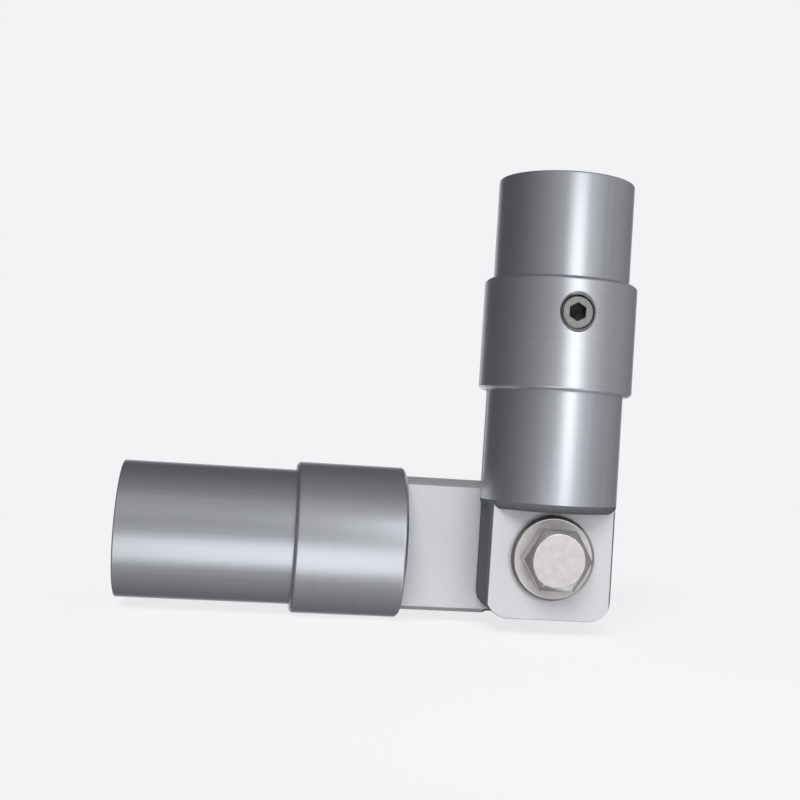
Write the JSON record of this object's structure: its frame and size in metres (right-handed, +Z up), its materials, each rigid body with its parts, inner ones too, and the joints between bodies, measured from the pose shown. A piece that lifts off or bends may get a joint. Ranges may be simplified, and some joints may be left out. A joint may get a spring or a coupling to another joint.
{
  "type": "adjustable tube corner connector",
  "caption": "Hinged corner connector for round tube: two lapped knuckles on one bolt, each plugged into a tube stub under a collar with a grub screw.",
  "frame": {"origin": "centre of the base tube's open mouth", "axes": "+X along the base arm towards the pivot bolt, +Z up along the upright arm at rest, +Y along the bolt from its head to its nut"},
  "size_m": [0.1548, 0.0692, 0.1398],
  "materials": {
    "tube": "satin drawn",
    "collar": "satin turned",
    "knuckle": "satin milled",
    "screw": "satin",
    "fastener": "satin",
    "washer": "satin",
    "insert": "matte"
  },
  "bodies": {
    "base": {"base_tube": "tube", "base_collar": "collar", "base_knuckle": "knuckle", "pivot_bolt": "fastener", "head_washer": "washer", "nut_washer": "washer", "lock_nut": "fastener", "nut_insert": "insert"},
    "upright": {"upright_tube": "tube", "upright_collar": "collar", "upright_knuckle": "knuckle"},
    "base_screw": {"base_grub_screw": "screw"},
    "upright_screw": {"upright_grub_screw": "screw"}
  },
  "joints": [
    {"name": "corner_hinge", "type": "hinge", "parent": "base", "child": "upright", "pos_m": [0.131, 0, 0], "axis": [0, 1, 0], "range_deg": [-35, 215]},
    {"name": "base_screw_travel", "type": "slide", "parent": "base", "child": "base_screw", "axis": [0, 1, 0], "range_m": [0, 0.008]},
    {"name": "upright_screw_travel", "type": "slide", "parent": "upright", "child": "upright_screw", "axis": [0, -1, 0], "range_m": [0, 0.008]}
  ]
}
